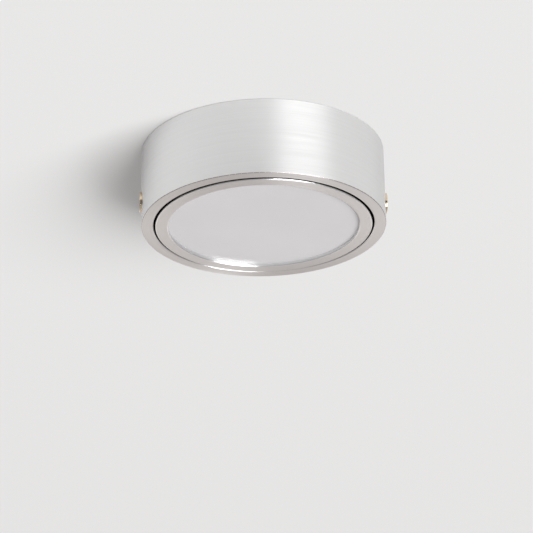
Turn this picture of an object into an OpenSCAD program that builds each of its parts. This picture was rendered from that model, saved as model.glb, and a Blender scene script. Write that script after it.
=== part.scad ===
// Round under-cabinet light for surface mounting, lens down.
// Millimetres. The origin is the centre of the mounting face, +Z points up into the cabinet,
// and everything hangs below it. The side screws lie on the X axis, the cable entry on +Y.

/* [Housing] */
// Outside diameter of the housing
housing_d = 70; // [66:1:80]
// Height of the housing, from the mounting face to the rim face
housing_h = 23; // [22:0.5:30]
// Thickness of the side wall
housing_wall = 3.35; // [2.8:0.05:4]
// Thickness of the back
back_t = 2; // [1.6:0.1:2.6]
// Chamfer on the housing's edges
edge_break = 0.2; // [0.1:0.05:0.5]
// Chamfer on the rim's outer edge
rim_break = 0.12; // [0.05:0.01:0.4]

/* [Fixing holes and cable entry] */
// Distance between the two fixing holes
fixing_spacing = 50; // [48:1:53]
// Diameter of a fixing hole
fixing_hole_d = 4.4; // [3.6:0.1:5]
// Diameter of the cable bore in the grommet
cable_bore_d = 5.2; // [4:0.1:6]
// Thickness of the grommet around the cable
grommet_wall = 1; // [0.8:0.1:1.2]
// Reach of the grommet's flanges past its neck
grommet_flange_w = 1.2; // [0.8:0.1:1.5]
// Thickness of each grommet flange
grommet_flange_t = 0.9; // [0.6:0.1:1.2]
// Distance from the grommet's flange to the side wall
cable_inset = 1.2; // [0.6:0.1:2]
// Distance from the grommet's flange to the notch in the driver's cover
cable_clear = 1.5; // [1.2:0.1:2.5]

/* [Side screws] */
// Thread diameter
side_screw_d = 3; // [2.5:0.1:3.5]
// Head diameter
side_head_d = 6; // [5.5:0.1:6.5]
// Height of the head
side_head_h = 1.6; // [1.3:0.1:2]
// How far the head stands out of the wall
side_head_rise = 0.55; // [0.3:0.05:0.9]
// Radius of the head's rounded edge
side_head_round = 0.25; // [0.1:0.05:0.4]
// Height of the screws above the rim face
side_screw_rise = 7.4; // [6.5:0.1:8]

/* [Trim ring and diffuser] */
// Gap between the housing's bore and the trim ring
ring_gap = 0.6; // [0.4:0.05:1]
// Width of the trim ring's face
trim_face_w = 3.65; // [3:0.05:4.5]
// How far the trim ring stands out of the rim face
trim_proud = 0.3; // [0:0.1:1]
// Depth of the diffuser behind the trim ring's face
trim_lip_t = 1; // [0.8:0.1:1.5]
// Wall thickness of the trim ring's skirt
trim_skirt_t = 1.7; // [1.2:0.1:2]
// Radius of the trim ring's rounded edges
trim_round = 0.3; // [0.1:0.05:0.45]
// Thickness of the diffuser
diffuser_t = 2; // [1.2:0.1:3]
// Thickness of the gasket behind the diffuser
gasket_t = 0.5; // [0.3:0.1:1]
// Width of the gasket
gasket_w = 2.2; // [1.6:0.1:3]

/* [Light chamber] */
// Wall thickness of the reflector
reflector_wall = 1; // [0.8:0.1:1.4]
// Thickness of the reflector's flange
reflector_flange_t = 1; // [0.8:0.1:1.4]
// Distance from the reflector's foot to the LED board's edge
reflector_foot_inset = 1.6; // [1:0.1:2.5]
// Thickness of the LED board
led_board_t = 1.6; // [1:0.1:2]
// Distance from the LED board's edge to the heat sink's skirt
led_board_gap = 1.2; // [0.8:0.1:2]
// Number of LEDs in the outer ring
led_outer_count = 12; // [6:1:14]
// Radius of the outer ring of LEDs
led_outer_r = 12.5; // [10:0.5:13]
// Number of LEDs in the inner ring
led_inner_count = 5; // [3:1:6]
// Radius of the inner ring of LEDs
led_inner_r = 6.5; // [6:0.1:7]
// Length of an LED package
led_l = 3.5; // [2.5:0.1:3.5]
// Width of an LED package
led_w = 2.8; // [1.8:0.1:2.8]
// Height of an LED package
led_h = 0.7; // [0.5:0.1:1]
// Thickness of the thermal pad
thermal_pad_t = 0.5; // [0.3:0.1:1]
// Distance from the head of a board screw to the reflector's foot
board_screw_inset = 2.2; // [1:0.1:3]

/* [Heat sink] */
// Thickness of the web between the LED board and the driver
web_t = 2.4; // [2:0.1:3]
// Thickness of the skirt around the light chamber
sink_skirt_t = 2.1; // [1.6:0.1:2.6]
// Number of fin places around the back
fin_count = 36; // [18:2:40]
// Thickness of a fin
fin_t = 1.2; // [0.8:0.1:1.6]
// Height of the fins
fin_h = 4.8; // [3:0.1:5.5]
// Distance from the fin tips to the flange's edge
fin_tip_inset = 0.8; // [0.4:0.1:2]
// Angle without fins below the cable entry
cable_sector = 36; // [30:1:60]
// Thickness of the wall around the driver
pocket_wall = 1.4; // [1:0.1:2]
// Diameter of the wire hole in the middle
wire_hole_d = 4.4; // [4.4:0.1:5]

/* [Driver] */
// Diameter of the driver board
driver_board_d = 40; // [38:1:41]
// Thickness of the driver board
driver_board_t = 1.2; // [0.8:0.1:1.6]
// Height of the bosses under the driver board
boss_h = 1.6; // [1.2:0.1:2]
// Thickness of the insulating sheet
sheet_t = 0.4; // [0.2:0.1:0.8]
// Room under the cover for the components
cover_room = 4.1; // [4:0.1:5]
// Wall thickness of the cover
cover_wall = 0.8; // [0.6:0.1:1.2]
// Air between the cover and the housing's back
cover_air = 0.6; // [0.3:0.1:1]
// Distance from a cover screw to the board's edge
cover_screw_inset = 4; // [3.6:0.1:4.5]
// Diameter of the wires to the LED board
wire_d = 1.1; // [0.8:0.1:1.1]
// Width of the terminal block
terminal_w = 8.4; // [7:0.1:9]
// Depth of the terminal block
terminal_l = 7; // [6:0.1:8]
// Height of the terminal block
terminal_h = 4; // [3.5:0.1:4]

/* [Small screws] */
// Thread diameter of the board and cover screws
small_screw_d = 2.5; // [2:0.1:2.6]
// Head diameter of the board and cover screws
small_head_d = 4.8; // [4:0.1:4.8]
// Head height of the board and cover screws
small_head_h = 1.4; // [1:0.1:1.6]

/* [Fits] */
// Radial gap between parts that slide into each other
slide_gap = 0.1; // [0.05:0.05:0.2]
// Radial gap around a screw in its clearance hole
hole_gap = 0.2; // [0.1:0.05:0.3]
// Radial gap around a thread, which is drawn plain
thread_gap = 0.05; // [0.02:0.01:0.1]

/* [Hidden] */
$fn = 96;
cut = 1; // how far a cutting shape runs past the face it opens

// Radii, from the outside in
housing_r = housing_d / 2;
bore_r = housing_r - housing_wall;
trim_r = bore_r - ring_gap;
lens_view_r = trim_r - trim_face_w;
trim_skirt_r = trim_r - trim_skirt_t;
diffuser_r = trim_skirt_r - slide_gap;
sink_skirt_r = diffuser_r;
sink_skirt_in_r = sink_skirt_r - sink_skirt_t;
sink_r = bore_r - slide_gap;
mouth_gap = 0.3; // between the reflector and the heat sink's skirt
mouth_r = sink_skirt_in_r - mouth_gap - reflector_wall;
led_board_r = sink_skirt_in_r - led_board_gap;
foot_r = led_board_r - reflector_foot_inset - reflector_wall;
board_screw_r = foot_r - board_screw_inset - small_head_d / 2;
thermal_pad_r = foot_r;
wire_hole_r = wire_hole_d / 2;
driver_board_r = driver_board_d / 2;
pocket_r = driver_board_r + 2 * slide_gap;
pocket_out_r = pocket_r + pocket_wall;
cover_screw_r = driver_board_r - cover_screw_inset;
sheet_r = pocket_r - slide_gap;

// Heights, from the housing's back down to the LED board
rim_z = -housing_h;
cover_top_z = -back_t - cover_air;
cover_in_z = cover_top_z - cover_wall;
driver_top_z = cover_in_z - cover_room;
driver_low_z = driver_top_z - driver_board_t;
web_top_z = driver_low_z - boss_h;
web_low_z = web_top_z - web_t;
led_board_top_z = web_low_z - thermal_pad_t;
led_board_low_z = led_board_top_z - led_board_t;

// Heights, from the trim ring's face up to the reflector, which takes what is left between
trim_z = rim_z - trim_proud;
lens_z = trim_z + trim_lip_t;
gasket_z = lens_z + diffuser_t;
reflector_z = gasket_z + gasket_t;
sink_skirt_z = reflector_z + reflector_flange_t;

// Fixing and cable entry
cable_bore_r = cable_bore_d / 2;
grommet_neck_r = cable_bore_r + grommet_wall;
grommet_flange_r = grommet_neck_r + grommet_flange_w;
grommet_sink = 0.1; // how far the grommet's flange lies below the mounting face
grommet_gap = 0.05; // between the grommet and its seat
grommet_seat_t = grommet_flange_t + grommet_sink;
cable_y = bore_r - cable_inset - grommet_flange_r;
cable_turn = 90; // the cable entry's angle

// Side screws: a low pan head that sits in a counterbore
side_z = rim_z + side_screw_rise;
side_r = side_screw_d / 2;
side_head_r = side_head_d / 2;
side_top_r = housing_r + side_head_rise;
side_seat_r = side_top_r - side_head_h;

// Board and cover screws
small_r = small_screw_d / 2;
screw_angles = [30, 150, 270];
board_screw_turn = 15; // the LED board's screws stand between the cover's
blind_floor = 0.4; // metal left under a blind hole
thread_end = 0.2; // a screw stops this far above the bottom of its hole
column_wall = 0.8; // wall of the cover around a screw's head
column_r = small_head_d / 2 + slide_gap + column_wall;
boss_wall = 1.2;
boss_r = small_r + boss_wall;

// Terminal block at the edge of the driver board
terminal_edge = 0.8; // from the block's face to the board's edge
terminal_y = driver_board_r - terminal_edge;
terminal_pitch = 3.6;
terminal_port = 2.6;
contact_t = 0.3;
window_gap = 0.4; // between the block and the cover's window

// Components on the driver board, each at [x, y]
inductor_at = [-9, -3];
inductor_w = 6.4;
inductor_h = 3.4;
capacitors_at = [[8.5, -5.5], [5.5, -11.5]];
capacitor_d = 5;
capacitor_h = 3.3;
capacitor_base_w = 5.3;
capacitor_base_t = 0.6;
bridge_at = [-7.5, 6];
bridge_size = [4.8, 4, 2];
chip_at = [0.5, 0];
chip_size = [4.9, 3.9, 1.5];
chip_pitch = 1.27;
diode_at = [8, 3.5];
diode_size = [4.3, 2.6, 2];
resistors_at = [[-4.5, -9], [-4.5, -11.5], [0.5, -7], [-4.5, -6.5]];
resistor_size = [2, 1.25, 0.55];
ceramics_at = [[-9, -9.5], [8.2, 6.6], [0.5, -9.5]];
ceramic_size = [3.2, 1.6, 1.2];

// A turned ring, drawn as its section: a band with both lower corners rounded
module rounded_band(r_in, r_out, z_low, z_high, round_r) {
    translate([r_in + round_r, z_low]) square([r_out - r_in - 2 * round_r, z_high - z_low]);
    translate([r_in, z_low + round_r]) square([r_out - r_in, z_high - z_low - round_r]);
    for (r = [r_in + round_r, r_out - round_r]) translate([r, z_low + round_r]) circle(round_r);
}

// A flat disc or ring between two heights
module ring(r_in, r_out, z_low, z_high) {
    rotate_extrude() translate([r_in, z_low]) square([r_out - r_in, z_high - z_low]);
}

// Both places of the side screws, seen along +X from the centre
module at_side_screws() {
    for (turn = [0, 180]) rotate([0, 0, turn]) translate([0, 0, side_z]) rotate([0, 90, 0]) children();
}

// The three places of a ring of small screws
module at_screws(r, turn = 0) {
    for (a = screw_angles) rotate([0, 0, a + turn]) translate([r, 0, 0]) children();
}

// A cross recess, cut down into a head whose top is at the origin
module cross_recess(length, width, depth) {
    for (turn = [0, 90]) rotate([0, 0, turn])
        translate([-length / 2, -width / 2, -depth]) cube([length, width, depth + cut]);
}

// A pan-head screw: the head stands on the origin and the thread points down
module pan_screw(length) {
    head_r = small_head_d / 2;
    crown_r = small_head_h + head_r * head_r / (4 * small_head_h);
    difference() {
        union() {
            translate([0, 0, -length]) cylinder(h = length, r = small_r);
            intersection() {
                cylinder(h = small_head_h, r = head_r);
                translate([0, 0, small_head_h - crown_r]) sphere(crown_r);
            }
        }
        translate([0, 0, small_head_h]) cross_recess(small_head_d * 0.55, 0.6, small_head_h * 0.55);
    }
}

module housing() {
    color("#cdc9c6") difference() {
        rotate_extrude() polygon([
            [0, -back_t], [bore_r, -back_t],
            [bore_r, rim_z + edge_break], [bore_r + edge_break, rim_z],
            [housing_r - rim_break, rim_z], [housing_r, rim_z + rim_break],
            [housing_r, -edge_break], [housing_r - edge_break, 0], [0, 0]]);
        for (x = [-1, 1]) translate([x * fixing_spacing / 2, 0, -back_t - cut])
            cylinder(h = back_t + 2 * cut, d = fixing_hole_d);
        translate([0, cable_y, 0]) {
            translate([0, 0, -back_t - cut]) cylinder(h = back_t + 2 * cut, r = grommet_neck_r + grommet_gap);
            translate([0, 0, -grommet_seat_t])
                cylinder(h = grommet_seat_t + cut, r = grommet_flange_r + grommet_gap);
        }
        at_side_screws() {
            translate([0, 0, bore_r - cut]) cylinder(h = housing_wall + 2 * cut, r = side_r + hole_gap);
            translate([0, 0, side_seat_r]) cylinder(h = side_head_h + cut, r = side_head_r + slide_gap);
        }
    }
}

module cable_grommet() {
    color("#26282a") translate([0, cable_y, 0]) {
        rotate_extrude() {
            translate([cable_bore_r, -grommet_seat_t])
                square([grommet_flange_r - cable_bore_r, grommet_flange_t]);
            translate([cable_bore_r, -back_t]) square([grommet_wall, back_t - grommet_seat_t]);
            translate([cable_bore_r, -back_t - grommet_flange_t])
                square([grommet_flange_r - cable_bore_r, grommet_flange_t]);
        }
    }
}

module side_screws() {
    color("#b58a4c") at_side_screws() difference() {
        union() {
            translate([0, 0, sink_skirt_in_r]) cylinder(h = side_seat_r - sink_skirt_in_r, r = side_r);
            translate([0, 0, side_seat_r]) rotate_extrude() {
                square([side_head_r, side_head_h - side_head_round]);
                square([side_head_r - side_head_round, side_head_h]);
                translate([side_head_r - side_head_round, side_head_h - side_head_round])
                    circle(side_head_round);
            }
        }
        translate([0, 0, side_top_r]) cross_recess(side_head_d * 0.6, 0.8, side_head_h * 0.6);
    }
}

module trim_ring() {
    color("#cbc7c4") difference() {
        rotate_extrude() {
            rounded_band(lens_view_r, trim_r, trim_z, lens_z, trim_round);
            translate([trim_skirt_r, lens_z]) square([trim_skirt_t, web_low_z - lens_z]);
        }
        at_side_screws() translate([0, 0, sink_skirt_in_r])
            cylinder(h = bore_r - sink_skirt_in_r, r = side_r + hole_gap);
    }
}

module diffuser() {
    color("#e9e9ea") rotate_extrude() polygon([
        [0, lens_z], [diffuser_r, lens_z], [diffuser_r, gasket_z - edge_break],
        [diffuser_r - edge_break, gasket_z], [0, gasket_z]]);
}

module lens_gasket() {
    color("#8d9093") ring(diffuser_r - gasket_w, diffuser_r - edge_break, gasket_z, reflector_z);
}

module reflector() {
    color("#f4f4f2") rotate_extrude() polygon([
        [mouth_r, reflector_z], [diffuser_r, reflector_z], [diffuser_r, sink_skirt_z],
        [mouth_r + reflector_wall, sink_skirt_z], [foot_r + reflector_wall, led_board_low_z],
        [foot_r, led_board_low_z]]);
}

module led_board() {
    color("#f1f1ec") difference() {
        ring(wire_hole_r, led_board_r, led_board_low_z, led_board_top_z);
        at_screws(board_screw_r, board_screw_turn) translate([0, 0, led_board_low_z - cut])
            cylinder(h = led_board_t + 2 * cut, r = small_r + hole_gap);
    }
}

// One LED: a moulded frame with a shallow round well for the phosphor
module led_package() {
    difference() {
        translate([-led_l / 2, -led_w / 2, -led_h]) cube([led_l, led_w, led_h]);
        translate([0, 0, -led_h - cut]) cylinder(h = cut + led_h / 4, r = led_w * 0.4);
    }
}

module led_packages() {
    color("#e8c75a") translate([0, 0, led_board_low_z]) {
        for (i = [0 : led_outer_count - 1])
            rotate([0, 0, i * 360 / led_outer_count]) translate([led_outer_r, 0, 0]) led_package();
        for (i = [0 : led_inner_count - 1])
            rotate([0, 0, 90 + i * 360 / led_inner_count]) translate([led_inner_r, 0, 0]) led_package();
    }
}

module led_board_screws() {
    color("#b9bcc0") at_screws(board_screw_r, board_screw_turn)
        translate([0, 0, led_board_low_z]) rotate([180, 0, 0])
            pan_screw(led_board_t + thermal_pad_t + web_t - blind_floor - thread_end);
}

module thermal_pad() {
    color("#7f8c99") difference() {
        ring(wire_hole_r, thermal_pad_r, led_board_top_z, web_low_z);
        at_screws(board_screw_r, board_screw_turn) translate([0, 0, led_board_top_z - cut])
            cylinder(h = thermal_pad_t + 2 * cut, r = small_r + hole_gap);
    }
}

module heat_sink() {
    fin_in_r = pocket_out_r - pocket_wall / 2;
    fin_l = sink_r - fin_tip_inset - fin_in_r;
    pocket_h = boss_h + driver_board_t + pocket_wall / 2;
    gap_w = terminal_w + 2 * window_gap;
    fin_root_z = web_top_z - web_t / 2;
    color("#b4b8bb") difference() {
        union() {
            rotate_extrude() {
                translate([wire_hole_r, web_low_z]) square([sink_r - wire_hole_r, web_t]);
                translate([sink_skirt_in_r, sink_skirt_z]) square([sink_skirt_t, web_top_z - sink_skirt_z]);
                translate([pocket_r, web_low_z]) square([pocket_wall, web_t + pocket_h]);
            }
            for (i = [0 : fin_count - 1]) {
                turn = i * 360 / fin_count;
                if (abs(turn - cable_turn) > cable_sector / 2) rotate([0, 0, turn])
                    translate([fin_in_r, -fin_t / 2, fin_root_z]) cube([fin_l, fin_t, fin_h + web_t / 2]);
            }
            at_screws(cover_screw_r) translate([0, 0, fin_root_z])
                cylinder(h = boss_h + web_t / 2, r = boss_r);
        }
        at_screws(board_screw_r, board_screw_turn) translate([0, 0, web_low_z - cut])
            cylinder(h = web_t - blind_floor + cut, r = small_r + thread_gap);
        at_screws(cover_screw_r) translate([0, 0, web_low_z + blind_floor])
            cylinder(h = web_t + boss_h, r = small_r + thread_gap);
        at_side_screws() translate([0, 0, sink_skirt_in_r - cut])
            cylinder(h = bore_r - sink_skirt_in_r + cut, r = side_r + thread_gap);
        translate([-gap_w / 2, driver_board_r / 2, web_top_z]) cube([gap_w, driver_board_r, pocket_h + cut]);
    }
}

module insulating_sheet() {
    color("#d9b45b") difference() {
        ring(wire_hole_r, sheet_r, web_top_z, web_top_z + sheet_t);
        at_screws(cover_screw_r) translate([0, 0, web_top_z - cut])
            cylinder(h = sheet_t + 2 * cut, r = boss_r + slide_gap);
    }
}

module driver_board() {
    color("#2c6e49") difference() {
        translate([0, 0, driver_low_z]) cylinder(h = driver_board_t, r = driver_board_r);
        at_screws(cover_screw_r) translate([0, 0, driver_low_z - cut])
            cylinder(h = driver_board_t + 2 * cut, r = small_r + hole_gap);
    }
}

// A block on the driver board, centred at [x, y]
module on_board(at, size) {
    translate([at[0] - size[0] / 2, at[1] - size[1] / 2, driver_top_z]) cube(size);
}

module inductor() {
    core_r = inductor_w * 0.42;
    color("#3a3c40") difference() {
        on_board(inductor_at, [inductor_w, inductor_w, inductor_h]);
        translate([inductor_at[0], inductor_at[1], driver_top_z + inductor_h / 2]) difference() {
            cylinder(h = inductor_h, r = core_r);
            translate([0, 0, -cut]) cylinder(h = inductor_h / 2 + cut, r = core_r * 0.8);
        }
    }
}

module capacitor_cans() {
    color("#c9ccd0") for (at = capacitors_at)
        translate([at[0], at[1], driver_top_z + capacitor_base_t]) difference() {
            cylinder(h = capacitor_h, d = capacitor_d);
            rotate_extrude() translate([capacitor_d / 2, capacitor_h * 0.25]) circle(0.25, $fn = 24);
        }
}

module capacitor_bases() {
    color("#1f2022") for (at = capacitors_at)
        on_board(at, [capacitor_base_w, capacitor_base_w, capacitor_base_t]);
}

// A moulded package with flat legs along two opposite sides
module package(at, size, legs, pitch) {
    leg_w = 0.4;
    leg_l = 1;
    leg_t = 0.2;
    on_board(at, size);
    for (i = [0 : legs - 1], side = [-1, 1])
        on_board([at[0] + (i - (legs - 1) / 2) * pitch, at[1] + side * (size[1] + leg_l) / 2],
            [leg_w, leg_l + leg_t, leg_t]);
}

module bridge_rectifier() {
    color("#27292c") package(bridge_at, bridge_size, 2, 2.5);
}

module driver_chip() {
    color("#232527") package(chip_at, chip_size, 4, chip_pitch);
}

module flyback_diode() {
    color("#27292c") on_board(diode_at, diode_size);
}

module chip_resistors() {
    color("#33363a") for (at = resistors_at) on_board(at, resistor_size);
}

module chip_capacitors() {
    color("#a98a63") for (at = ceramics_at) on_board(at, ceramic_size);
}

module terminal_block() {
    color("#e6e6e1") difference() {
        translate([-terminal_w / 2, terminal_y - terminal_l, driver_top_z])
            cube([terminal_w, terminal_l, terminal_h]);
        for (side = [-1, 1]) translate([side * terminal_pitch / 2, 0, 0]) {
            translate([-terminal_port / 2, terminal_y - terminal_l + 1.5, driver_top_z + 0.6])
                cube([terminal_port, terminal_l, terminal_port]);
            translate([-0.6, terminal_y - terminal_l + 2.5, driver_top_z + terminal_port])
                cube([1.2, 2, terminal_h]);
        }
    }
}

// Two square spring cages in the block's ports
module terminal_contacts() {
    cage = terminal_port - 2 * slide_gap;
    color("#c9a24e") for (side = [-1, 1])
        translate([side * terminal_pitch / 2 - cage / 2, terminal_y - terminal_l + 1.5, driver_top_z + 0.6])
            difference() {
                cube([cage, terminal_l - 2.5, cage]);
                translate([contact_t, contact_t, contact_t])
                    cube([cage - 2 * contact_t, terminal_l, cage - 2 * contact_t]);
            }
}

// Route of a wire in the XZ plane, as [x, z, tilt]: down the hole, round a bend, out to its pad
wire_r = wire_d / 2;
wire_x = wire_r + 0.35;
bend_r = 1.4;
pad_run = 1.6;
wire_gap = 0.05; // between a wire and the board it lies on
wire_z = led_board_low_z - wire_r - wire_gap;
wire_route = concat([[wire_x, driver_low_z, 0]],
    [for (a = [0 : 15 : 90]) [wire_x + bend_r * (1 - cos(a)), wire_z + bend_r * (1 - sin(a)), a]],
    [[wire_x + bend_r + pad_run, wire_z, 90]]);
wire_sides = 8;

// A round wire swept along a route, closed at both ends
module swept_wire(route) {
    points = [for (p = route, i = [0 : wire_sides - 1])
        let (a = i * 360 / wire_sides, out = wire_r * cos(a))
        [p[0] + out * cos(p[2]), wire_r * sin(a), p[1] + out * sin(p[2])]];
    last = len(route) - 1;
    sides = [for (k = [0 : last - 1], i = [0 : wire_sides - 1])
        let (j = (i + 1) % wire_sides, low = k * wire_sides, high = low + wire_sides)
        [low + i, low + j, high + j, high + i]];
    start = [for (i = [wire_sides - 1 : -1 : 0]) i];
    finish = [for (i = [0 : wire_sides - 1]) last * wire_sides + i];
    polyhedron(points, concat(sides, [start, finish]));
}

module positive_lead() {
    color("#b3261e") swept_wire(wire_route);
}

module negative_lead() {
    color("#1b1c1e") rotate([0, 0, 180]) swept_wire(wire_route);
}

module driver_cover() {
    color("#e3e3de") difference() {
        union() {
            ring(0, driver_board_r, cover_in_z, cover_top_z);
            ring(driver_board_r - cover_wall, driver_board_r, driver_top_z, cover_in_z);
            at_screws(cover_screw_r) translate([0, 0, driver_top_z])
                cylinder(h = cover_room, r = column_r);
        }
        at_screws(cover_screw_r) {
            translate([0, 0, driver_top_z - cut])
                cylinder(h = cover_room + cover_wall + 2 * cut, r = small_r + hole_gap);
            translate([0, 0, cover_top_z - small_head_h])
                cylinder(h = small_head_h + cut, r = small_head_d / 2 + slide_gap);
        }
        translate([-terminal_w / 2 - window_gap, driver_board_r / 2, driver_top_z - cut])
            cube([terminal_w + 2 * window_gap, driver_board_r, cover_room + cut]);
        translate([0, cable_y, cover_in_z - cut])
            cylinder(h = cover_wall + 2 * cut, r = grommet_flange_r + cable_clear);
    }
}

module cover_screws() {
    length = cover_top_z - small_head_h - web_low_z - blind_floor - thread_end;
    color("#b9bcc0") at_screws(cover_screw_r)
        translate([0, 0, cover_top_z - small_head_h]) pan_screw(length);
}

housing();
cable_grommet();
side_screws();
trim_ring();
diffuser();
lens_gasket();
reflector();
led_board();
led_packages();
led_board_screws();
thermal_pad();
heat_sink();
insulating_sheet();
driver_board();
inductor();
capacitor_cans();
capacitor_bases();
bridge_rectifier();
driver_chip();
flyback_diode();
chip_resistors();
chip_capacitors();
terminal_block();
terminal_contacts();
positive_lead();
negative_lead();
driver_cover();
cover_screws();
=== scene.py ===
import math
import bpy
from mathutils import Matrix, Quaternion, Vector


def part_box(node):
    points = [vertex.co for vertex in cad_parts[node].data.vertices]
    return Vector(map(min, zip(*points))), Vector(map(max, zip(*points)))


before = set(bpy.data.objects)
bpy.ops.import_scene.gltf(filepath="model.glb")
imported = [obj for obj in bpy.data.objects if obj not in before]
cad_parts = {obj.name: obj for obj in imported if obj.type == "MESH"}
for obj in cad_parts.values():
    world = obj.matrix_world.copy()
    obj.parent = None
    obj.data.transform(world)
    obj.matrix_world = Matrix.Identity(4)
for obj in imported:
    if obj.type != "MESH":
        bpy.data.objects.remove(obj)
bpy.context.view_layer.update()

scene = bpy.context.scene
scene.view_settings.view_transform = "Standard"
mm = 0.001
noiseSpan = (0.3, 0.7)  # most values of a noise texture lie between these
print("frame loaded")


def linear(code):
    # a colour as it looks on screen, "#rrggbb", turned into linear light
    parts = [int(code[i:i + 2], 16) / 255 for i in (1, 3, 5)]
    return [p / 12.92 if p <= 0.04045 else ((p + 0.055) / 1.055) ** 2.4 for p in parts] + [1]


def addNode(tree, kind, feeds=None, **options):
    # options are the node's own settings, feeds are numbers or other sockets for its inputs
    node = tree.nodes.new("ShaderNode" + kind)
    for name, value in options.items():
        setattr(node, name, value)
    for name, value in (feeds or {}).items():
        if isinstance(value, bpy.types.NodeSocket):
            tree.links.new(value, node.inputs[name])
        else:
            node.inputs[name].default_value = value
    return node


def newMaterial(name):
    material = bpy.data.materials.new(name)
    material.use_nodes = True
    material.node_tree.nodes.clear()
    return material, material.node_tree


def dress(node, material):
    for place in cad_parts[node].material_slots:
        place.material = material


def fade(tree, value, span, low, high):
    # from one colour to another while a value runs through a span
    amount = addNode(tree, "MapRange", {"Value": value, "From Min": span[0], "From Max": span[1]})
    # sockets 0, 6 and 7 of a mix node are its amount and its two colours
    mixer = addNode(tree, "Mix", {0: amount.outputs[0], 6: low, 7: high}, data_type="RGBA")
    return mixer.outputs[2]


def skin(tree, grain, look):
    # uneven gloss and a fine relief, both from one noise
    gloss = addNode(tree, "MapRange", {
        "Value": grain, "From Min": noiseSpan[0], "From Max": noiseSpan[1],
        "To Min": look["rough"] - look["roughSpread"], "To Max": look["rough"] + look["roughSpread"]})
    relief = addNode(tree, "Bump", {
        "Height": grain, "Strength": look["relief"], "Distance": look["reliefMm"] * mm})
    return {"Roughness": gloss.outputs[0], "Normal": relief.outputs[0]}


# turned and brushed metal: fine rings round the Z axis on the wall and on the flat faces
def turnedMetal(name, look):
    material, tree = newMaterial(name)
    place = addNode(tree, "TexCoord").outputs["Object"]
    height = addNode(tree, "SeparateXYZ", {0: place}).outputs[2]
    flat = addNode(tree, "VectorMath", {0: place, 1: (1, 1, 0)}, operation="MULTIPLY").outputs[0]
    radius = addNode(tree, "VectorMath", {0: flat}, operation="LENGTH").outputs["Value"]

    # the noise changes fast across the brushing and slowly along it
    ringsPerMetre, runsPerMetre = 1 / (look["ringMm"] * mm), 1 / (look["ringLengthMm"] * mm)
    across = addNode(tree, "Math", {0: radius, 1: height}, operation="ADD").outputs[0]
    fast = addNode(tree, "Math", {0: across, 1: ringsPerMetre}, operation="MULTIPLY").outputs[0]
    slow = addNode(tree, "VectorMath", {0: flat, 3: runsPerMetre}, operation="SCALE").outputs[0]
    slow = addNode(tree, "SeparateXYZ", {0: slow}).outputs
    ringPlace = addNode(tree, "CombineXYZ", {0: slow[0], 1: slow[1], 2: fast}).outputs[0]
    rings = addNode(tree, "TexNoise", {"Vector": ringPlace, "Scale": 1, "Detail": 2}).outputs[0]
    cloudFeeds = {"Vector": place, "Scale": 1 / (look["cloudMm"] * mm), "Detail": 3}
    clouds = addNode(tree, "TexNoise", cloudFeeds).outputs[0]
    tone = fade(tree, clouds, (0, 1), linear(look["tone"]), linear(look["otherTone"]))
    ringTone = fade(tree, rings, (0, 1), linear(look["ringDark"]), linear(look["ringLight"]))
    plated = {0: 1.0, 6: tone, 7: ringTone}
    colour = addNode(tree, "Mix", plated, data_type="RGBA", blend_type="MULTIPLY").outputs[2]

    # painted shade: the thin chamfer, which lies farther out and down than the given edge limit, is
    # drawn darker
    if "shadedEdgeMm" in look:
        outward = addNode(tree, "Math", {0: radius, 1: height}, operation="SUBTRACT").outputs[0]
        edge = {0: outward, 1: look["shadedEdgeMm"] * mm}
        onShadedEdge = addNode(tree, "Math", edge, operation="GREATER_THAN").outputs[0]
        edgeShadeMix = {0: onShadedEdge, 6: colour, 7: linear(look["edgeShadeTone"])}
        colour = addNode(tree, "Mix", edgeShadeMix, data_type="RGBA").outputs[2]

    # painted shade in the gap: a near-black tone laid on one side of a radius and between two heights
    side = {0: radius, 1: look["gapShadeMm"] * mm}
    beyond = addNode(tree, "Math", side, operation=look["gapShadeSide"]).outputs[0]
    low, high = look["gapShadeFromMm"] * mm, look["gapShadeToMm"] * mm
    span = {0: height, 1: (low + high) / 2, 2: (high - low) / 2}
    inside = addNode(tree, "Math", span, operation="COMPARE").outputs[0]
    shadedGapMask = addNode(tree, "Math", {0: beyond, 1: inside}, operation="MULTIPLY").outputs[0]
    gapShadeMix = {0: shadedGapMask, 6: colour, 7: linear(look["gapShadeTone"])}
    colour = addNode(tree, "Mix", gapShadeMix, data_type="RGBA").outputs[2]

    tangent = addNode(tree, "Tangent", direction_type="RADIAL", axis="Z").outputs[0]
    quarterTurn = 0.25  # of the brushing, so that it runs round the axis
    shader = addNode(tree, "BsdfPrincipled", {
        "Base Color": colour, "Metallic": 1, **skin(tree, rings, look),
        "Specular Tint": linear(look["grazing"]), "Anisotropic": look["brushing"],
        "Anisotropic Rotation": quarterTurn, "Tangent": tangent})
    addNode(tree, "OutputMaterial", {"Surface": shader.outputs[0]})
    return material


# any other material: a mottled colour, an uneven gloss and a fine surface grain
def mottled(name, look):
    material, tree = newMaterial(name)
    place = addNode(tree, "TexCoord").outputs["Object"]
    cloudFeeds = {"Vector": place, "Scale": 1 / (look["cloudMm"] * mm), "Detail": 3}
    grainFeeds = {"Vector": place, "Scale": 1 / (look["grainMm"] * mm), "Detail": 2}
    clouds = addNode(tree, "TexNoise", cloudFeeds).outputs[0]
    grain = addNode(tree, "TexNoise", grainFeeds).outputs[0]
    colour = fade(tree, clouds, noiseSpan, linear(look["tone"]), linear(look["otherTone"]))
    shader = addNode(tree, "BsdfPrincipled", {
        "Base Color": colour, "Metallic": look.get("metal", 0), **skin(tree, grain, look),
        **look.get("more", {})})
    addNode(tree, "OutputMaterial", {"Surface": shader.outputs[0]})
    return material


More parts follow.
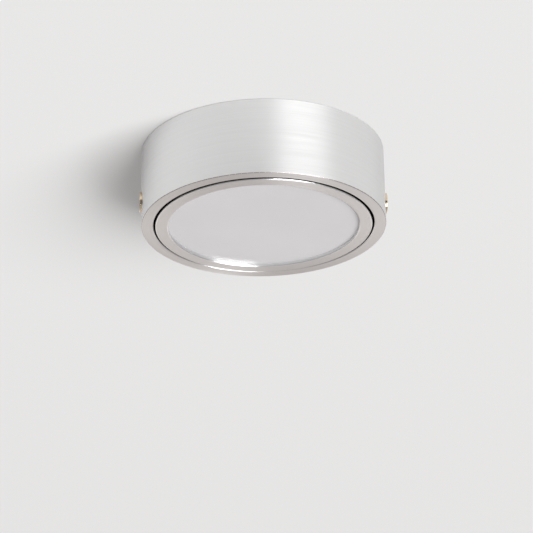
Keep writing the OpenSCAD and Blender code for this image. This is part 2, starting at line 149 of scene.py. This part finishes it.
# housing: satin nickel, brushed round the axis, so a lamp shows as an upright band on the wall
housingLook = {
    "tone": "#fdfdfd", "otherTone": "#f9f9f9", "ringDark": "#f3f3f3", "ringLight": "#ffffff",
    "rough": 0.315, "roughSpread": 0.03, "brushing": 0.84,
    "grazing": "#e7e7e7",  # nickel dulls a little where the wall turns away
    "shadedEdgeMm": 57.87, "edgeShadeTone": "#b0abaa",  # painted shade: the thin chamfer under the wall is drawn darker, a dark line at the sides that also dims its highlight
    "gapShadeSide": "LESS_THAN", "gapShadeMm": 31.75, "gapShadeFromMm": -22.75, "gapShadeToMm": -0.4,
    "gapShadeTone": "#4c4846",  # painted shade: the bore is drawn near black, so the gap round the trim reads dark
    "ringMm": 0.35, "ringLengthMm": 30, "cloudMm": 14,  # real rings are finer, drawn to show
    "relief": 0.12, "reliefMm": 0.004,
}
dress("housing", turnedMetal("satinNickelBrushed", housingLook))

# trim ring: the same plating with quieter rings, its rounded edges catch a thin light
trimLook = {
    "tone": "#fcfcfc", "otherTone": "#f8f8f8", "ringDark": "#f8f8f8", "ringLight": "#ffffff",
    "rough": 0.32, "roughSpread": 0.02, "brushing": 0.82, "grazing": "#e7e7e7",
    "gapShadeSide": "GREATER_THAN", "gapShadeMm": 30.95, "gapShadeFromMm": -22.95, "gapShadeToMm": 0,
    "gapShadeTone": "#4c4846",  # painted shade: the skirt behind the gap is drawn near black too
    "ringMm": 0.3, "ringLengthMm": 30, "cloudMm": 12,
    "relief": 0.08, "reliefMm": 0.003,
}
dress("trim_ring", turnedMetal("satinNickelTrim", trimLook))

# diffuser: milky acrylic with a half-gloss skin, an even pale grey when the light is off
diffuserLook = {
    "tone": "#cdccce", "otherTone": "#d0cfd1", "rough": 0.22, "roughSpread": 0.02,
    "cloudMm": 20, "grainMm": 0.4, "relief": 0.03, "reliefMm": 0.002,
    "more": {
        "IOR": 1.49, "Subsurface Weight": 0.2, "Subsurface Radius": (1, 1, 1),
        "Subsurface Scale": 0.001},
}
dress("diffuser", mottled("opalAcrylic", diffuserLook))

# side screws and contacts: plain turned brass, pale tan with a hard small glint
brassLook = {
    "tone": "#ead9c0", "otherTone": "#e2ceb1", "rough": 0.11, "roughSpread": 0.02, "metal": 1,
    "cloudMm": 2, "grainMm": 0.25, "relief": 0.03, "reliefMm": 0.003,
}
brass = mottled("turnedBrass", brassLook)
dress("side_screws", brass)
dress("terminal_contacts", brass)

# cable grommet: matt black rubber with a dusty bloom
rubberLook = {
    "tone": "#2a2b2d", "otherTone": "#343537", "rough": 0.7, "roughSpread": 0.08,
    "cloudMm": 3, "grainMm": 0.3, "relief": 0.2, "reliefMm": 0.01,
}
dress("cable_grommet", mottled("blackRubber", rubberLook))

# gasket and thermal pad: grey silicone, dull and soft to the eye
siliconeLook = {
    "tone": "#8b9096", "otherTone": "#7f858c", "rough": 0.6, "roughSpread": 0.06,
    "cloudMm": 5, "grainMm": 0.3, "relief": 0.15, "reliefMm": 0.01,
    "more": {"Subsurface Weight": 0.1, "Subsurface Scale": 0.001},
}
silicone = mottled("greySilicone", siliconeLook)
dress("lens_gasket", silicone)
dress("thermal_pad", silicone)

# reflector: bright white moulding with a soft sheen
reflectorLook = {
    "tone": "#f3f3f1", "otherTone": "#efefec", "rough": 0.35, "roughSpread": 0.04,
    "cloudMm": 10, "grainMm": 0.4, "relief": 0.05, "reliefMm": 0.004,
}
dress("reflector", mottled("whiteReflectorPlastic", reflectorLook))

# driver cover and terminal block: off-white housing plastic with a light spark texture
casingLook = {
    "tone": "#e6e6e0", "otherTone": "#dfdfd8", "rough": 0.5, "roughSpread": 0.05,
    "cloudMm": 8, "grainMm": 0.35, "relief": 0.2, "reliefMm": 0.008,
}
casing = mottled("offWhiteCasing", casingLook)
dress("driver_cover", casing)
dress("terminal_block", casing)

# LED board: white solder mask, smooth and slightly glossy
ledBoardLook = {
    "tone": "#f1f1ed", "otherTone": "#e9eae5", "rough": 0.3, "roughSpread": 0.04,
    "cloudMm": 6, "grainMm": 0.5, "relief": 0.05, "reliefMm": 0.003,
}
dress("led_board", mottled("whiteSolderMask", ledBoardLook))

# LEDs: yellow phosphor gel, soft and a little translucent
ledLook = {
    "tone": "#efd06a", "otherTone": "#e6bf4e", "rough": 0.3, "roughSpread": 0.05,
    "cloudMm": 1.2, "grainMm": 0.15, "relief": 0.1, "reliefMm": 0.004,
    "more": {"Subsurface Weight": 0.2, "Subsurface Scale": 0.0005},
}
dress("led_packages", mottled("ledPhosphor", ledLook))

# small screws: zinc plating, cool and slightly cloudy
zincLook = {
    "tone": "#c3c6cb", "otherTone": "#b3b8bf", "rough": 0.32, "roughSpread": 0.06, "metal": 1,
    "cloudMm": 1.5, "grainMm": 0.2, "relief": 0.1, "reliefMm": 0.004,
}
zinc = mottled("zincPlatedSteel", zincLook)
dress("led_board_screws", zinc)
dress("cover_screws", zinc)

# heat sink: blasted die-cast aluminium, grey and grainy
castLook = {
    "tone": "#b3b6ba", "otherTone": "#a6a9ae", "rough": 0.5, "roughSpread": 0.06, "metal": 1,
    "cloudMm": 4, "grainMm": 0.3, "relief": 0.4, "reliefMm": 0.01,
}
dress("heat_sink", mottled("castAluminium", castLook))

# insulating sheet: amber polyimide film, smooth and bright
filmLook = {
    "tone": "#cf9f3c", "otherTone": "#c39233", "rough": 0.25, "roughSpread": 0.04,
    "cloudMm": 8, "grainMm": 0.5, "relief": 0.05, "reliefMm": 0.003,
}
dress("insulating_sheet", mottled("amberFilm", filmLook))

# driver board: green solder mask over the weave of the glass cloth
driverBoardLook = {
    "tone": "#2b7048", "otherTone": "#24613e", "rough": 0.32, "roughSpread": 0.05,
    "cloudMm": 2, "grainMm": 0.3, "relief": 0.15, "reliefMm": 0.005,
}
dress("driver_board", mottled("greenSolderMask", driverBoardLook))

# inductor: dark sintered ferrite, dull and fine-grained
ferriteLook = {
    "tone": "#3a3b3e", "otherTone": "#2f3033", "rough": 0.6, "roughSpread": 0.06,
    "cloudMm": 1.5, "grainMm": 0.2, "relief": 0.3, "reliefMm": 0.01,
}
dress("inductor", mottled("ferrite", ferriteLook))

# capacitor cans: drawn aluminium, bright with a faint cloud
canLook = {
    "tone": "#ccced2", "otherTone": "#c0c3c8", "rough": 0.28, "roughSpread": 0.04, "metal": 1,
    "cloudMm": 2, "grainMm": 0.2, "relief": 0.06, "reliefMm": 0.003,
}
dress("capacitor_cans", mottled("drawnAluminium", canLook))

# chips, diode, bridge, resistors and capacitor bases: moulded black epoxy with a matt grain
epoxyLook = {
    "tone": "#26272a", "otherTone": "#2e2f32", "rough": 0.55, "roughSpread": 0.06,
    "cloudMm": 2, "grainMm": 0.15, "relief": 0.25, "reliefMm": 0.006,
}
epoxy = mottled("blackEpoxy", epoxyLook)
for node in (
        "capacitor_bases", "bridge_rectifier", "driver_chip", "flyback_diode", "chip_resistors"):
    dress(node, epoxy)

# ceramic capacitors: fired tan ceramic with a dull glaze
ceramicLook = {
    "tone": "#a58a66", "otherTone": "#957a57", "rough": 0.45, "roughSpread": 0.05,
    "cloudMm": 1, "grainMm": 0.15, "relief": 0.15, "reliefMm": 0.004,
}
dress("chip_capacitors", mottled("tanCeramic", ceramicLook))

# leads: glossy silicone insulation, one red and one black
redLeadLook = {
    "tone": "#b02a22", "otherTone": "#a3241d", "rough": 0.35, "roughSpread": 0.04,
    "cloudMm": 2, "grainMm": 0.3, "relief": 0.05, "reliefMm": 0.003,
}
dress("positive_lead", mottled("redInsulation", redLeadLook))
blackLeadLook = {**redLeadLook, "tone": "#1d1e20", "otherTone": "#242528"}
dress("negative_lead", mottled("blackInsulation", blackLeadLook))

# without this the wall's bright band throws a glow on the pale cabinet
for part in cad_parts.values():
    part.visible_diffuse = False
print("materials on", len(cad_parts), "nodes")


def mattPaint(name, tone, cameraOnly):
    # clear from behind, and with cameraOnly also clear to every ray but the camera's
    material, tree = newMaterial(name)
    hidden = addNode(tree, "NewGeometry").outputs["Backfacing"]
    if cameraOnly:
        seen = addNode(tree, "LightPath").outputs["Is Camera Ray"]
        notSeen = addNode(tree, "Math", {0: 1.0, 1: seen}, operation="SUBTRACT").outputs[0]
        hidden = addNode(tree, "Math", {0: notSeen, 1: hidden}, operation="MAXIMUM").outputs[0]
    matt = addNode(tree, "BsdfDiffuse", {"Color": linear(tone)}).outputs[0]
    clear = addNode(tree, "BsdfTransparent").outputs[0]
    shown = addNode(tree, "MixShader", {0: hidden, 1: matt, 2: clear}).outputs[0]
    addNode(tree, "OutputMaterial", {"Surface": shown})
    return material


def addSheet(name, points, faces, material):
    mesh = bpy.data.meshes.new(name)
    mesh.from_pydata(points, [], faces)
    mesh.materials.append(material)
    sheet = bpy.data.objects.new(name, mesh)
    scene.collection.objects.link(sheet)
    return sheet


# underside of the cabinet: pale matt paint, open behind the light and clear from above
cabinet = {
    "paint": "#e3e3e3", "holeMm": 34.4, "reach": 2.5, "sides": 128,
    "front": -0.138,  # its front edge is just out of the picture
    "riseMm": 0.05,  # off the mounting face, so that the two never fight
}
inner, outer, faces = [], [], []
hole, reach, sides = cabinet["holeMm"] * mm, cabinet["reach"], cabinet["sides"]
for i in range(sides):
    turn = 2 * math.pi * i / sides
    y = max(reach * math.sin(turn), cabinet["front"])
    inner.append((hole * math.cos(turn), hole * math.sin(turn), cabinet["riseMm"] * mm))
    outer.append((reach * math.cos(turn), y, cabinet["riseMm"] * mm))
    after = (i + 1) % sides
    faces.append((i, after, after + sides, i + sides))
cabinetPaint = mattPaint("cabinetPaint", cabinet["paint"], cameraOnly=False)
cabinetPlane = addSheet("cabinetUnderside", inner + outer, faces, cabinetPaint)

# plain floor under the trim ring, drawn only for a camera above it
floor = {"paint": "#a2a2a2", "reach": 6, "height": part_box("trim_ring")[0].z}
square = ((-1, -1), (1, -1), (1, 1), (-1, 1))
corners = [(x * floor["reach"], y * floor["reach"], floor["height"]) for x, y in square]
floorPaint = mattPaint("floorPaint", floor["paint"], cameraOnly=True)
floorPlane = addSheet("paleFloor", corners, [(0, 1, 2, 3)], floorPaint)
print("stage built")

# the room that the metal mirrors: dim on the camera's side and duller straight below, pale
# beyond the light with a greyer middle, and even above; a span is in parts of a direction
room = {
    "front": "#727272", "below": "#bebebe", "far": "#bab2af", "sides": "#fffbf8",
    "above": "#e6e6e6", "backdrop": "#e6e6e6",
    "farToSides": (0.05, 0.3), "belowToFront": (-0.92, -0.7), "nearToBelt": (0.2, 0.5),
    "sidesToFront": (0.45, 0.75), "roomToAbove": (0.3, 0.45),
}
world = bpy.data.worlds.new("studio")
scene.world = world
world.use_nodes = True
air = world.node_tree
air.nodes.clear()
way = addNode(air, "SeparateXYZ", {0: addNode(air, "TexCoord").outputs["Generated"]}).outputs
sideways = addNode(air, "Math", {0: way[0]}, operation="ABSOLUTE").outputs[0]
belt = fade(air, sideways, room["farToSides"], linear(room["far"]), linear(room["sides"]))
near = fade(air, way[2], room["belowToFront"], linear(room["below"]), linear(room["front"]))
around = fade(air, way[1], room["nearToBelt"], near, belt)
dimmed = fade(air, sideways, room["sidesToFront"], around, linear(room["front"]))
light = fade(air, way[2], room["roomToAbove"], dimmed, linear(room["above"]))
cameraRay = addNode(air, "LightPath").outputs["Is Camera Ray"]
seen = {0: cameraRay, 6: light, 7: linear(room["backdrop"])}
shown = addNode(air, "Mix", seen, data_type="RGBA").outputs[2]
glow = addNode(air, "Background", {"Color": shown, "Strength": 1})
addNode(air, "OutputWorld", {"Surface": glow.outputs[0]})


def addHolder(name, data, look):
    # a lamp or camera that looks at its aim, or at the origin: turn runs from the front
    # towards +X, rise up from the level, and roll round the line of sight, all in degrees
    turn, rise = math.radians(look["turn"]), math.radians(look["rise"])
    level = math.cos(rise)
    back = Vector((math.sin(turn) * level, -math.cos(turn) * level, math.sin(rise)))
    place = Vector(look.get("aimMm", (0, 0, 0))) * mm + back * look["distance"]
    roll = Quaternion((0, 0, 1), math.radians(look.get("roll", 0)))
    turned = (back.to_track_quat("Z", "Y") @ roll).to_matrix().to_4x4()
    holder = bpy.data.objects.new(name, data)
    holder.matrix_world = Matrix.Translation(place) @ turned
    scene.collection.objects.link(holder)
    return holder


# softbox: to the right of the camera and well below the cabinet
softboxLook = {"turn": 36, "rise": -36, "distance": 12, "power": 1850, "width": 9.1, "height": 9.2}
softbox = bpy.data.lights.new("softbox", "AREA")
softbox.energy = softboxLook["power"]
softbox.shape = "RECTANGLE"
softbox.size = softboxLook["width"]
softbox.size_y = softboxLook["height"]
addHolder("softbox", softbox, softboxLook)

# a soft light from above for the floor alone, which throws the object's shadow on it
overheadLook = {"turn": 40, "rise": 58, "distance": 12, "power": 5.3, "wide": 55}
overhead = bpy.data.lights.new("overhead", "SUN")
overhead.energy = overheadLook["power"]
overhead.angle = math.radians(overheadLook["wide"])
overheadLamp = addHolder("overhead", overhead, overheadLook)
lit = bpy.data.collections.new("litByOverhead")
lit.objects.link(floorPlane)
shading = bpy.data.collections.new("shadingOverhead")
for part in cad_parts.values():
    shading.objects.link(part)
overheadLamp.light_linking.receiver_collection = lit
overheadLamp.light_linking.blocker_collection = shading
print("lights on")

# camera: below and a little to the left of the front, placed by the two rim ellipses
shot = {
    "turn": -3.3882, "rise": -24.4055, "roll": -1.2376, "distance": 0.9527,
    "aimMm": (3.614, 52.714, -11.693),  # the middle of the picture, beyond the light
    "lens": 212.46, "sensor": 36, "nearClip": 0.01,
}
eye = bpy.data.cameras.new("camera")
eye.lens = shot["lens"]
eye.sensor_width = shot["sensor"]
eye.clip_start = shot["nearClip"]
scene.camera = addHolder("camera", eye, shot)
print("camera placed")
